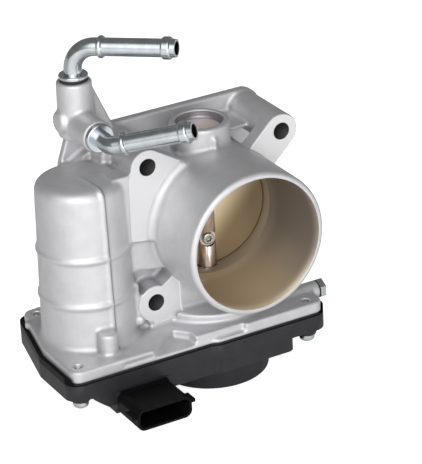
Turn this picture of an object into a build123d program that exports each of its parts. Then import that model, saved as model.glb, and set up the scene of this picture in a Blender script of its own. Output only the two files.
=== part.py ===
from build123d import *
import os
from math import acos, cos, hypot, pi, radians, sin, tan

# An electronic throttle body: a cast aluminium housing with a round air bore, a butterfly plate
# on a vertical shaft, a motor in an upright can beside the bore, a gear train under a plastic
# cover, a six-way connector, and two hose fittings for the warm-water passage.
#
# Frame, in millimetres: the origin is the centre of the air bore on the mounting face.
# +Y points out of that face towards the manifold, the air inlet is towards -Y, +Z is up along
# the throttle shaft, and +X is away from the motor.

# ---- air bore and inlet snout
BORE_R = 30.0
MOUTH_OUTER_R = 35.0
MOUTH_INNER_R = 32.3
MOUTH_Y = -77.0
SNOUT_LAND_Y = -50.0
BARREL_R = 34.4
THROAT_Y = -36.0
TAPER_R = 31.0

# ---- manifold flange and bolt ears
BOLT_X = 35.5
BOLT_Z = 34.5
BOLT_HOLE_R = 4.2
EAR_R = 8.6
EAR_Y = -40.6
UNDER_STEP = 1.3
FLANGE_EDGE = 9.4
FLANGE_T = 5.0

# ---- throttle shaft and plate
SHAFT_Y = -26.0
SHAFT_R = 4.75
SHAFT_TOP = 39.3
SHAFT_END = -66.0
CLOSED_TILT = 7.0
PLATE_T = 2.0
PLATE_SCREW_Z = 15.3
SPOT_FACE_R = 3.9
SPOT_FACE_DEPTH = 2.6
RUNNING_GAP = 0.03

# ---- shaft bosses, bearings and seals
TOP_BOSS_R = 14.2
TOP_BOSS_Z = 44.5
TOP_CAP_R = 11.5
TOP_CAP_SEAT_Z = 39.6
NEEDLE_R = 8.0
NEEDLE_LOW_Z = 34.0
NEEDLE_LENGTH = 5.2
LOW_BOSS_R = 13.6
BALL_BEARING_R = 11.0
BALL_BEARING_T = 6.0
BALL_BEARING_LOW_Z = -43.4
SEAL_R = 7.5
SEAL_T = 2.6

# ---- motor can
MOTOR_X = -63.75
CAN_TOP_Z = 32.0
CAN_SHOULDER_Z = 27.2
CAN_SHOULDER_R = 20.8
CAN_FOOT_R = 22.7
CAN_BORE_R = 17.8
CAN_CEILING_Z = 28.0
CAN_RING_Z = (-1.6, -24.4)
SEAM_ANGLE = -86.0
SEAM_PROUD = 0.6
SEAM_WIDTH = 1.5

# ---- motor
MOTOR_R = 17.5
MOTOR_WALL = 1.2
MOTOR_TOP_Z = 25.0
MOTOR_LOW_Z = -45.0
MOTOR_SHAFT_R = 2.0
MOTOR_SCREW_R = 1.5
ARMATURE_R = 11.0
ARMATURE_SLOTS = 10
COMMUTATOR_BARS = 10

# ---- gear plate at the foot of the casting
PLATE_TOP = -46.7
PLATE_BASE = -52.7
PLATE_LIP = -50.7
DISC_R = 30.6
DISC_TOP = -42.0
DISC_CEILING = -44.6
IDLER_CEILING = -49.2
IDLER_POCKET_R = 12.5

# ---- gear train
IDLER_X = -33.75
PRESSURE_ANGLE = radians(20)
BACKLASH = 0.16
PINION_TEETH = 12
WHEEL_TEETH = 48
FAST_MODULE = 1.0
SMALL_TEETH = 14
SECTOR_TEETH = 40
SLOW_MODULE = 1.25
SECTOR_LOW_Z = -58.6
SECTOR_TOP_Z = -51.6
WHEEL_LOW_Z = -65.4
WHEEL_TOP_Z = -60.4
IDLER_PIN_R = 2.5
IDLER_PIN_LOW_Z = -66.4

# ---- cover, seal, screws and connector
COVER_TOP = -53.7
RIM_TOP = -50.4
LEVEL_ONE = -61.5
LEVEL_TWO = -68.5
COVER_WALL = 2.0
SENSOR_BUMP_R = 27.4
SENSOR_BUMP_LOW = -83.5
COVER_SCREWS = ((-76.9, 4.6), (-84.8, -54.8), (35.0, -57.6), (36.8, -3.0), (-60.0, -1.4))
SCREW_PAD_Z = -63.7
COVER_SCREW_R = 2.0
TIP_RECESS_R = 2.4
TIP_RECESS_DEPTH = 1.2
SCREW_HEAD_R = 3.7
SCREW_HEAD_H = 3.6
SOCKET_X = -56.4
SOCKET_Z = -67.2
SOCKET_W = 28.0
SOCKET_H = 10.8
SOCKET_WALL = 1.3
SOCKET_MOUTH_Y = -83.5
SOCKET_FLOOR_Y = -66.5
PIN_TIP_Y = -76.0
PIN_PITCH = 3.24
PIN_COUNT = 6

# ---- coolant fittings
COOLANT_X = -53.5
COOLANT_Y = -7.0
COOLANT_TOP_Z = 71.0
COOLANT_LOW_Z = 50.0
COOLANT_BOSS_R = 8.3
SIDE_BOSS_R = 7.7
SIDE_BOSS_Y = -29.0
NIPPLE_R = 4.3
NIPPLE_BORE_R = 3.2
NIPPLE_BEAD_R = 5.3
NIPPLE_FLANGE_R = 6.9
UPPER_TUBE_Z = 87.4
UPPER_TUBE_TURN = -46.0
UPPER_TUBE_RISE = 2.5
UPPER_TUBE_REACH = 50.5
LOWER_TUBE_Y = -41.0
LOWER_TUBE_TURN = -45.5
LOWER_TUBE_RISE = 14.5
LOWER_TUBE_REACH = 41.0
UPPER_RING_GAP = 1.2
LOWER_RING_GAP = 0.4

# ---- stop screw on the gear plate
STOP_Y = -47.0
STOP_Z = -48.6
STOP_TIP_X = 16.6
STOP_POINT_R = 2.0
STOP_R = 2.5
STOP_BOSS_R = 4.4
STOP_BOSS_END = 47.5
STOP_NUT_R = 5.0
STOP_NUT_T = 3.0
STOP_SCREW_END = 51.5


# ---------------------------------------------------------------- shape helpers

def block(x0, x1, y0, y1, z0, z1):
    """A box between two corners."""
    return Pos((x0 + x1) / 2, (y0 + y1) / 2, (z0 + z1) / 2) * Box(x1 - x0, y1 - y0, z1 - z0)


def rod(radius, z0, z1, x=0.0, y=SHAFT_Y):
    """An upright cylinder, by default on the throttle shaft."""
    return Pos(x, y, (z0 + z1) / 2) * Cylinder(radius, z1 - z0)


def rod_y(radius, y0, y1, x=0.0, z=0.0):
    """A cylinder along Y."""
    return Pos(x, (y0 + y1) / 2, z) * Rot(90, 0, 0) * Cylinder(radius, y1 - y0)


def rod_x(radius, x0, x1, y, z):
    """A cylinder along X."""
    return Pos((x0 + x1) / 2, y, z) * Rot(0, 90, 0) * Cylinder(radius, x1 - x0)


def ring(outer, inner, z0, z1, x=0.0, y=SHAFT_Y):
    """An upright tube."""
    return rod(outer, z0, z1, x, y) - rod(inner, z0 - 1, z1 + 1, x, y)


def wall(points, y0, y1):
    """A flat plate across the bore axis, from an outline of (x, z) points."""
    corners = [(x, y0, z) for x, z in points]
    face = make_face(Polyline(*corners, close=True).edges())
    return extrude(face, amount=y1 - y0, dir=(0, 1, 0))


def sheet(points, corner_r, z0, z1):
    """A level plate from an outline of (x, y) points with rounded corners."""
    outline = make_face(Polyline(*points, close=True).edges())
    if corner_r:
        outline = fillet(outline.vertices(), corner_r)
    return Pos(0, 0, z0) * extrude(outline, amount=z1 - z0)


def turned(points, x, y):
    """A solid of revolution about an upright axis, from (radius, z) points."""
    corners = [(r, 0, z) for r, z in points]
    face = make_face(Polyline(*corners, close=True).edges())
    return Pos(x, y, 0) * revolve(face, axis=Axis.Z)


def turned_y(points):
    """A solid of revolution about the bore axis, from (radius, y) points."""
    face = make_face(Polyline(*points, close=True).edges())
    return revolve(face, axis=Axis.Y)


def about_shaft(shape, angle):
    """The shape turned about the throttle shaft."""
    return Pos(0, SHAFT_Y, 0) * Rot(0, 0, angle) * Pos(0, -SHAFT_Y, 0) * shape


def group(shapes):
    """Several separate solids as one node."""
    return Compound(children=list(shapes))


def polar(radius, angle_deg, x=0.0, y=SHAFT_Y):
    """A point at a distance and direction from an upright axis."""
    return (x + radius * cos(radians(angle_deg)), y + radius * sin(radians(angle_deg)))


# ---------------------------------------------------------------- the casting

def air_barrel():
    """Inlet snout and bore tube: a true cylinder for the hose, then a slight draft to the flange."""
    edge = 1.2
    return turned_y([
        (0, MOUTH_Y), (MOUTH_OUTER_R - edge, MOUTH_Y), (MOUTH_OUTER_R, MOUTH_Y + edge),
        (MOUTH_OUTER_R, SNOUT_LAND_Y), (BARREL_R, EAR_Y), (BARREL_R, 0), (0, 0)])


def air_bore():
    """The hollow of the bore: a slow taper, a step to the throat, then the round throat."""
    return turned_y([
        (0, MOUTH_Y - 1), (MOUTH_INNER_R + 0.05, MOUTH_Y - 1), (MOUTH_INNER_R, MOUTH_Y),
        (TAPER_R, THROAT_Y - 1), (BORE_R, THROAT_Y), (BORE_R, 1), (0, 1)])


def manifold_flange():
    """Rounded rectangle whose corners are concentric with the bolt holes."""
    width = 2 * (BOLT_X + FLANGE_EDGE)
    height = 2 * (BOLT_Z + FLANGE_EDGE)
    plate = Pos(0, -FLANGE_T / 2, 0) * Box(width, FLANGE_T, height)
    return fillet(plate.edges().filter_by(Axis.Y), FLANGE_EDGE)


def bolt_positions():
    return [(sx * BOLT_X, sz * BOLT_Z) for sx in (-1, 1) for sz in (-1, 1)]


def bolt_bosses():
    return [rod_y(EAR_R, EAR_Y, -1, x, z) for x, z in bolt_positions()]


def ear_outlines():
    """The flat faces that join each bolt boss to the barrel, as (x, z) outlines."""
    upper_left = [(-30.0, 41.1), (-14, 31), (0, 0), (-33, -2.8), (-50, 0), (-54, 32.8), (-43.9, 33)]
    reach = hypot(BOLT_X, BOLT_Z)
    side = (-EAR_R * BOLT_Z / reach, EAR_R * BOLT_X / reach)
    upper_right = [(BOLT_X + side[0], BOLT_Z + side[1]), (side[0], side[1]),
                   (-side[0], -side[1]), (BOLT_X - side[0], BOLT_Z - side[1])]
    lower_left = [(-24, -21.5), (-31.5, -26.9), (-43.5, -38), (-38.2, PLATE_TOP), (0, PLATE_TOP), (0, 0)]
    lower_right = [(-x, z) for x, z in lower_left]
    return upper_left, upper_right, lower_left, lower_right


def ear_webs():
    """Ear plates between each bolt boss and the barrel, with pockets left open behind them."""
    depths = (-29.0, -32.0, -31.0, -31.0)
    webs = [wall(points, EAR_Y, depth) for points, depth in zip(ear_outlines(), depths)]
    under = [(0, 0), (-25, -19), (-36.8, -17.8), (-42, -16.2), (-48.5, -16.6), (-54, -14), (-54, 5)]
    return webs + [wall(under, EAR_Y + UNDER_STEP, depths[0])]


def ear_cove():
    """Rounded root where the snout meets the upper left ear."""
    rise = 3.6
    steps = 5
    curve = [(BARREL_R + rise * (1 - cos(a)), EAR_Y - rise * (1 - sin(a)))
             for a in [pi / 2 * i / steps for i in range(steps + 1)]]
    skirt = turned_y([(BARREL_R - 2, EAR_Y - rise)] + curve + [(BARREL_R - 2, EAR_Y + 1)])
    return skirt & wall(ear_outlines()[0], EAR_Y - rise - 1, EAR_Y + 2)


def shaft_bosses():
    """Bosses that carry the shaft bearings above and below the barrel."""
    upper = rod(TOP_BOSS_R, 0, TOP_BOSS_Z)
    upper = chamfer(upper.edges().group_by(Axis.Z)[-1], 0.6)
    nub = rod(1.3, 33, 40, 0, SHAFT_Y - TOP_BOSS_R)
    lower = rod(LOW_BOSS_R, DISC_TOP - 3, 0)
    return [upper, nub, lower]


def top_ribs():
    """Ribs between the upper shaft boss, the flange and the upper right ear."""
    level = block(TOP_BOSS_R - 2, 30, -24, -3, 33.2, 35.0)
    back = block(-1.4, 1.4, SHAFT_Y + 8, -1, 28, 37)
    slope = wall([(-30, 34), (-12, 33), (-12, 30), (-30, 30)], -12, -1)
    return [level, back, slope]


def can_profile(grow=0.0):
    """Half section of the can as (radius, z) points: flared foot, drafted wall, rounded shoulder."""
    steps = 6
    radius = CAN_TOP_Z - CAN_SHOULDER_Z
    shoulder = [(CAN_SHOULDER_R + grow - radius * (1 - cos(a)), CAN_SHOULDER_Z + grow + radius * sin(a))
                for a in [pi / 2 * i / steps for i in range(steps + 1)]]
    flare = 2.6
    foot = [(CAN_FOOT_R + grow + flare * (1 - cos(a)), PLATE_TOP + flare * (1 - sin(a)))
            for a in [pi / 2 * (1 - i / steps) for i in range(steps + 1)]]
    base = PLATE_TOP - 1
    return [(0, base), (CAN_FOOT_R + flare, base)] + foot + shoulder + [(0, CAN_TOP_Z + grow)]


def motor_can():
    """Upright can with a rounded shoulder, two raised bands and the ridge left by the mould seam."""
    body = turned(can_profile(), MOTOR_X, SHAFT_Y)
    bands = [Pos(MOTOR_X, SHAFT_Y, z) * Torus(can_radius(z) - 0.4, 1.4) for z in CAN_RING_Z]
    slab = block(0, 30, -SEAM_WIDTH / 2, SEAM_WIDTH / 2, PLATE_TOP + 1, CAN_TOP_Z + 1)
    slab = Pos(MOTOR_X, SHAFT_Y, 0) * Rot(0, 0, SEAM_ANGLE) * slab
    seam = turned(can_profile(SEAM_PROUD), MOTOR_X, SHAFT_Y) & slab
    return [body, seam] + bands


def can_radius(z):
    """Outer radius of the can's drafted wall at a height."""
    part = (CAN_SHOULDER_Z - z) / (CAN_SHOULDER_Z - PLATE_TOP)
    return CAN_SHOULDER_R + part * (CAN_FOOT_R - CAN_SHOULDER_R)


def can_links():
    """Walls between the can and the barrel, a rib on them, and the bridge to the upper left ear."""
    web = wall([(MOTOR_X + 17, PLATE_TOP), (-20, PLATE_TOP), (-20, 20), (MOTOR_X + 17, 26)], -30, -22)
    bridge = wall([(-60, 5), (-30, 5), (-30, 32), (-44, 31.5), (-60, 30.5)], -30, -10)
    rear = wall([(-60, 12), (-30, 12), (-30, 38), (-44, 38), (-60, 30.5)], -10, -2)
    rib = block(-46.2, -43.8, -40.5, -26, -39, -22)
    foot = block(-45.5, -37, -38.5, -28, PLATE_TOP - 1, -42.5)
    return [web, bridge, rear, rib, foot]


def plate_outline():
    return [(-90.3, -61), (-18, -61), (-15, -62.5), (42.4, -62.5), (42.4, 3.5), (-62, 3.5),
            (-72, 10.5), (-81.8, 9.8), (-90.3, -30)]


def gear_plate():
    """Foot of the casting: a thick plate, notched at the front, with a raised disc over the gears."""
    plate = sheet(plate_outline(), 5, PLATE_BASE, PLATE_TOP)
    notch = sheet([(-51.5, -63), (-31.7, -48), (-26.2, -54.4), (-26.2, -63)], 0, PLATE_LIP, PLATE_TOP + 1)
    ledge = block(-27, -0.5, -63, -60.4, PLATE_LIP, PLATE_TOP + 1)
    groove = block(-64.5, -49, -62, -59.3, PLATE_LIP, PLATE_LIP + 1.4)
    disc = rod(DISC_R, PLATE_TOP - 1, DISC_TOP) & block(-40, 40, -70, -0.5, -60, 0)
    disc = fillet(disc.edges().group_by(Axis.Z)[-1], 1.0)
    return [plate - notch - ledge - groove, disc]


def foot_post():
    """Small post standing against the front of the can's foot."""
    post = rod(4.7, PLATE_TOP - 1, -36, MOTOR_X - 3.0, -50.8)
    return fillet(post.edges().group_by(Axis.Z)[-1], 1.2)


def corner_knob():
    """Rounded knob at the foot of the rib beside the lower left ear."""
    knob = rod(1.9, -43.0, -38.5, -44.5, -41)
    return fillet(knob.edges().filter_by(GeomType.CIRCLE), 1.2)


def edge_lug():
    """Small half-round lug on the left edge of the gear plate."""
    return rod(1.9, PLATE_LIP + 0.5, PLATE_TOP, -84.0, -1.5)


def stop_boss():
    """Boss on the right end of the gear plate for the stop screw, flat underneath."""
    barrel = rod_x(STOP_BOSS_R, 20, STOP_BOSS_END, STOP_Y, STOP_Z)
    return barrel & block(19, 60, STOP_Y - 10, STOP_Y + 10, PLATE_BASE, 0)


def coolant_block():
    """Upright and forward bosses of the warm-water passage, with the webs that carry them."""
    upright = turned([(0, COOLANT_LOW_Z - 6), (COOLANT_BOSS_R + 0.6, COOLANT_LOW_Z - 6),
                      (COOLANT_BOSS_R, COOLANT_TOP_Z), (0, COOLANT_TOP_Z)], COOLANT_X, COOLANT_Y)
    forward = rod_y(SIDE_BOSS_R, SIDE_BOSS_Y, COOLANT_Y, COOLANT_X, COOLANT_LOW_Z)
    side_plug = rod_x(5.6, COOLANT_X - 10.5, COOLANT_X, COOLANT_Y, COOLANT_LOW_Z + 2)
    side_plug = fillet(side_plug.edges().group_by(Axis.X)[0], 2.5)
    skirt = wall([(-63, 30), (-57.5, 45.5), (-46, 50), (-36, 43.5), (-36, 20), (-63, 20)], -5.5, -1.5)
    gusset = wall([(-50, 70.5), (-45.6, 69.5), (-34.5, 43.5), (-50, 43)], -7, -2)
    strut = block(-49.0, -40.2, -20.8, -4, 29, 46)
    strut = fillet(strut.edges().filter_by(Axis.Z).group_by(Axis.Y)[0], 2.8)
    return [upright, forward, side_plug, skirt, gusset, strut]


def coolant_passage():
    """Seats for the two fittings and the bores that join them."""
    depth = 8.0
    spigot = NIPPLE_R + 0.4
    return [
        rod(spigot, COOLANT_TOP_Z - depth, COOLANT_TOP_Z + 1, COOLANT_X, COOLANT_Y),
        rod(NIPPLE_BORE_R, COOLANT_LOW_Z, COOLANT_TOP_Z, COOLANT_X, COOLANT_Y),
        rod_y(spigot, SIDE_BOSS_Y - 1, SIDE_BOSS_Y + depth, COOLANT_X, COOLANT_LOW_Z),
        rod_y(NIPPLE_BORE_R, SIDE_BOSS_Y, COOLANT_Y, COOLANT_X, COOLANT_LOW_Z),
    ]


def shaft_bores():
    """Bearing and seal seats, and the shaft's clearance hole."""
    low = BALL_BEARING_LOW_Z
    return [
        rod(SHAFT_R + 0.4, -50, TOP_CAP_SEAT_Z),
        rod(SEAL_R, NEEDLE_LOW_Z - SEAL_T, NEEDLE_LOW_Z),
        rod(NEEDLE_R, NEEDLE_LOW_Z, TOP_CAP_SEAT_Z),
        rod(TOP_CAP_R, TOP_CAP_SEAT_Z, TOP_BOSS_Z + 1),
        rod(BALL_BEARING_R, DISC_CEILING - 2, low + BALL_BEARING_T),
        rod(SEAL_R, low + BALL_BEARING_T - 1, low + BALL_BEARING_T + SEAL_T),
    ]


def gear_cavity():
    """Hollows in the underside: the sector's disc, the idler's circle and the motor's hole."""
    disc = rod(DISC_R - 2.2, PLATE_BASE - 1, DISC_CEILING) & block(-40, 40, -70, -2.6, -60, 0)
    boss = rod(LOW_BOSS_R, DISC_CEILING - 1.2, DISC_TOP)
    low_disc = rod(DISC_R - 2.2, PLATE_BASE - 1, IDLER_CEILING) & block(-40, 40, -70, 1.2, -60, 0)
    idler = rod(IDLER_POCKET_R, PLATE_BASE - 1, IDLER_CEILING, IDLER_X)
    motor = rod(CAN_BORE_R, PLATE_BASE - 1, CAN_CEILING_Z, MOTOR_X)
    return [disc - boss, low_disc, idler, motor]


def throttle_body_casting():
    solids = [manifold_flange(), ear_cove()] + bolt_bosses() + ear_webs() + shaft_bosses()
    solids += top_ribs() + motor_can() + can_links() + gear_plate() + coolant_block()
    solids += [foot_post(), corner_knob(), edge_lug(), stop_boss()]
    body = air_barrel().fuse(*solids)
    cuts = [air_bore()] + shaft_bores() + gear_cavity() + coolant_passage()
    cuts += [rod_y(BOLT_HOLE_R, EAR_Y - 1, 1, x, z) for x, z in bolt_positions()]
    cuts += [rod(COVER_SCREW_R, PLATE_BASE - 1, PLATE_TOP + 1, x, y) for x, y in COVER_SCREWS]
    cuts += [rod(TIP_RECESS_R, PLATE_TOP - TIP_RECESS_DEPTH, PLATE_TOP + 1, x, y) for x, y in COVER_SCREWS]
    cuts += [rod(MOTOR_SCREW_R, PLATE_BASE - 1, -48.0, x, y) for x, y in motor_screw_places()]
    cuts.append(rod(IDLER_PIN_R, IDLER_CEILING - 1, IDLER_CEILING + 1.6, IDLER_X))
    cuts.append(rod_x(STOP_R, STOP_TIP_X, 50, STOP_Y, STOP_Z))
    cuts.append(block(-120, 60, 0, 30, -43, 100))
    body = body.cut(*cuts)
    return max(body.solids(), key=lambda solid: solid.volume)


# ---------------------------------------------------------------- shaft, plate, bearings

def throttle_shaft():
    """Shaft with a slot for the plate, a spot face at each plate screw and a flatted end."""
    shaft = rod(SHAFT_R, SHAFT_END, SHAFT_TOP)
    shaft = chamfer(shaft.edges().group_by(Axis.Z)[-1], 0.5)
    slot = block(-SHAFT_R - 1, SHAFT_R + 1, SHAFT_Y - PLATE_T / 2, SHAFT_Y + PLATE_T / 2, -BORE_R, BORE_R)
    flats = [block(sx * 5.6 - 2, sx * 5.6 + 2, SHAFT_Y - 6, SHAFT_Y + 6, SHAFT_END - 1, SECTOR_LOW_Z - 0.5)
             for sx in (-1, 1)]
    cuts = [slot] + flats
    for sz in (-1, 1):
        z = sz * PLATE_SCREW_Z
        cuts.append(rod_y(SPOT_FACE_R, SHAFT_Y - SHAFT_R - 1, SHAFT_Y - SPOT_FACE_DEPTH, 0, z))
        cuts.append(rod_y(2.0, SHAFT_Y - SHAFT_R - 1, SHAFT_Y + SHAFT_R + 1, 0, z))
    return about_shaft(shaft.cut(*cuts), -CLOSED_TILT)


def throttle_plate():
    """Butterfly plate: the part of a tilted slab that just fills the round bore."""
    slab = about_shaft(block(-40, 40, SHAFT_Y - PLATE_T / 2, SHAFT_Y + PLATE_T / 2, -40, 40), -CLOSED_TILT)
    disc = slab & rod_y(BORE_R - 0.12, -60, 10)
    trim = group([rod(SHAFT_R + 2, BORE_R - 0.4, 40), rod(SHAFT_R + 2, -40, -BORE_R + 0.4)])
    holes = [about_shaft(rod_y(2.0, -40, -10, 0, sz * PLATE_SCREW_Z), -CLOSED_TILT) for sz in (-1, 1)]
    return disc.cut(trim, *holes)


def pan_screw(head_r, head_h, shank_r, length, recess):
    """Round-headed screw pointing down from z = 0, with a six-lobed recess in its head."""
    head = Pos(0, 0, head_h / 2) * Cylinder(head_r, head_h)
    head = fillet(head.edges().group_by(Axis.Z)[-1], head_h * 0.45)
    shank = Pos(0, 0, -length / 2) * Cylinder(shank_r, length)
    shank = chamfer(shank.edges().group_by(Axis.Z)[0], shank_r * 0.25)
    lobes = [Pos(*polar(recess * 0.75, 60 * i, 0, 0), head_h) * Cylinder(recess * 0.33, head_h)
             for i in range(6)]
    core = Pos(0, 0, head_h) * Cylinder(recess * 0.72, head_h)
    return (head + shank).cut(core, *lobes)


def plate_screws():
    """Two screws that clamp the plate in the shaft's slot."""
    length = SPOT_FACE_DEPTH + SHAFT_R - 0.4
    screws = []
    for sz in (-1, 1):
        screw = pan_screw(3.0, 1.8, 2.0, length, 1.5)
        placed = Pos(0, SHAFT_Y - SPOT_FACE_DEPTH, sz * PLATE_SCREW_Z) * Rot(90, 0, 0) * screw
        screws.append(about_shaft(placed, -CLOSED_TILT))
    return group(screws)


def upper_needle_bearing():
    """Drawn cup with a closed row of needles, modelled as a ribbed sleeve."""
    low = NEEDLE_LOW_Z
    high = low + NEEDLE_LENGTH
    cup = ring(NEEDLE_R, SHAFT_R + RUNNING_GAP, low, high)
    return cup.cut(ring(6.6, 5.3, high - 0.8, high + 1))


def lower_bearing_rings():
    """Outer and inner rings of the lower ball bearing, with the ball groove in each."""
    low = BALL_BEARING_LOW_Z
    high = low + BALL_BEARING_T
    groove = Pos(0, SHAFT_Y, (low + high) / 2) * Torus(7.9, 1.82)
    outer = ring(BALL_BEARING_R, 9.1, low, high) - groove
    inner = ring(6.7, SHAFT_R, low, high) - groove
    return outer, inner


def lower_bearing_balls():
    z = BALL_BEARING_LOW_Z + BALL_BEARING_T / 2
    return group([Pos(*polar(7.9, 45 * i), z) * Sphere(1.8) for i in range(8)])


def shaft_seals():
    """Lip seals between the bore and each bearing."""
    upper = ring(SEAL_R, SHAFT_R + RUNNING_GAP, NEEDLE_LOW_Z - SEAL_T, NEEDLE_LOW_Z)
    low = BALL_BEARING_LOW_Z + BALL_BEARING_T
    lower = ring(SEAL_R, SHAFT_R + RUNNING_GAP, low, low + SEAL_T)
    return upper, lower


def upper_shaft_cap():
    """Pressed steel cup that closes the upper boss: thin wall, rounded inside corner, flat floor."""
    seat = TOP_CAP_SEAT_Z
    rim = seat + 4.3
    floor = seat + 0.8
    hollow = rod(TOP_CAP_R - 0.8, floor, rim + 4)
    hollow = fillet(hollow.edges().group_by(Axis.Z)[0], 1.9)
    return rod(TOP_CAP_R, seat, rim) - hollow


# ---------------------------------------------------------------- gears

def involute(angle):
    return tan(angle) - angle


def tooth_flank(teeth, module):
    """(radius, half angle) pairs up one side of an involute tooth, root to tip."""
    pitch_r = teeth * module / 2
    base_r = pitch_r * cos(PRESSURE_ANGLE)
    root_r = pitch_r - 1.2 * module
    tip_r = pitch_r + 0.9 * module
    half = pi / (2 * teeth) - BACKLASH / (2 * pitch_r)
    start = max(base_r, root_r)
    radii = [start + (tip_r - start) * i / 4 for i in range(5)]
    flank = [(r, half + involute(PRESSURE_ANGLE) - involute(acos(min(1.0, base_r / r)))) for r in radii]
    return [(root_r, flank[0][1] * 1.05)] + flank


def gear(teeth, module, z0, z1, x, first_deg=0.0):
    """Spur gear on an upright axis, with one tooth centred on first_deg."""
    flank = tooth_flank(teeth, module)
    points = []
    for index in range(teeth):
        centre = radians(first_deg) + 2 * pi * index / teeth
        points += [(r * cos(centre - a), r * sin(centre - a)) for r, a in flank]
        points += [(r * cos(centre + a), r * sin(centre + a)) for r, a in reversed(flank)]
    face = make_face(Polyline(*points, close=True).edges())
    return Pos(x, SHAFT_Y, z0) * extrude(face, amount=z1 - z0)


def wedge(radius, start_deg, end_deg, z0, z1, x=0.0):
    """Pie-shaped solid about an upright axis."""
    steps = 8
    rim = [polar(radius, start_deg + (end_deg - start_deg) * i / steps, x) for i in range(steps + 1)]
    return sheet([(x, SHAFT_Y)] + rim, 0, z0, z1)


def sector_gear():
    """Moulded gear segment on the throttle shaft, with a stop arm and a spring shelf."""
    half_tooth = 180 / SECTOR_TEETH
    teeth = gear(SECTOR_TEETH, SLOW_MODULE, SECTOR_LOW_Z, SECTOR_TOP_Z, 0.0, 180 + half_tooth)
    segment = teeth & wedge(40, 168, 276, SECTOR_LOW_Z - 1, SECTOR_TOP_Z + 1)
    web = rod(20.5, SECTOR_LOW_Z + 2.2, SECTOR_TOP_Z - 2.2)
    pocket = ring(20.0, 12.0, SECTOR_LOW_Z - 1, SECTOR_LOW_Z + 2.2)
    hub = rod(10.0, SECTOR_LOW_Z, -47.2)
    arm_angle = -62
    low_arm = block(8, 24, SHAFT_Y - 4, SHAFT_Y + 4, SECTOR_TOP_Z - 4, SECTOR_TOP_Z)
    horn = block(18.2, 24, SHAFT_Y - 4, SHAFT_Y + 4, SECTOR_TOP_Z - 1, -46.6)
    arm = about_shaft(low_arm + horn, arm_angle)
    body = (segment - pocket) + web + hub + arm
    return body.cut(rod(6.5, SECTOR_LOW_Z - 1, -46))


def sector_insert():
    """Steel lever moulded into the sector, which drives the shaft's flats."""
    return ring(6.5, SHAFT_R, SECTOR_LOW_Z, -47.2)


def shaft_nut():
    """Nut that clamps the sector to the shaft's end."""
    z0 = SECTOR_LOW_Z - 3.8
    hexagon = Pos(0, SHAFT_Y, z0) * extrude(RegularPolygon(7.0, 6), amount=3.2)
    return hexagon.cut(rod(SHAFT_R, z0 - 1, z0 + 5) - shaft_flat_gaps(z0))


def shaft_flat_gaps(z0):
    """The two side slices that the flats remove from the shaft's end."""
    sides = [block(sx * 5.6 - 2, sx * 5.6 + 2, SHAFT_Y - 6, SHAFT_Y + 6, z0 - 2, z0 + 6) for sx in (-1, 1)]
    return about_shaft(group(sides), -CLOSED_TILT)


def intermediate_gear():
    """Two-step idler: a large wheel driven by the motor and a small one that drives the sector."""
    half_tooth = 180 / WHEEL_TEETH
    wheel = gear(WHEEL_TEETH, FAST_MODULE, WHEEL_LOW_Z, WHEEL_TOP_Z, IDLER_X, 180 + half_tooth)
    small = gear(SMALL_TEETH, SLOW_MODULE, WHEEL_TOP_Z - 0.5, -50.6, IDLER_X, 0.0)
    relief = ring(20.5, 9.5, WHEEL_LOW_Z - 1, WHEEL_LOW_Z + 1.5, IDLER_X)
    holes = [rod(3.2, WHEEL_LOW_Z - 1, WHEEL_TOP_Z + 1, *polar(15.2, 60 * i + 30, IDLER_X))
             for i in range(6)]
    return (wheel + small).cut(rod(IDLER_PIN_R + RUNNING_GAP, -80, -40, IDLER_X), relief, *holes)


def intermediate_gear_pin():
    return rod(IDLER_PIN_R, IDLER_PIN_LOW_Z, IDLER_CEILING + 1.5, IDLER_X)


def return_spring():
    """Torsion spring round the lower boss, under the casting's disc."""
    wire_r = 0.75
    path = Helix(pitch=1.9, height=3.9, radius=16.2)
    start = path @ 0
    section = Plane(origin=start, z_dir=path % 0) * Circle(wire_r)
    coil = sweep(section, path=path, is_frenet=True)
    return Pos(0, SHAFT_Y, -50.3) * coil


# ---------------------------------------------------------------- motor

def motor_case():
    """Deep-drawn steel can, open at the bottom, with a domed bearing pocket on top."""
    inner_r = MOTOR_R - MOTOR_WALL
    shell = rod(MOTOR_R, MOTOR_LOW_Z, MOTOR_TOP_Z, MOTOR_X)
    shell = fillet(shell.edges().group_by(Axis.Z)[-1], 2.0)
    hollow = rod(inner_r, MOTOR_LOW_Z - 1, MOTOR_TOP_Z - MOTOR_WALL, MOTOR_X)
    pocket = rod(5.0, MOTOR_TOP_Z - 1, MOTOR_TOP_Z + 2.6, MOTOR_X)
    pocket_hollow = rod(4.0, MOTOR_TOP_Z - 2, MOTOR_TOP_Z + 1.6, MOTOR_X)
    return (shell + pocket) - hollow - pocket_hollow


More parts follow.
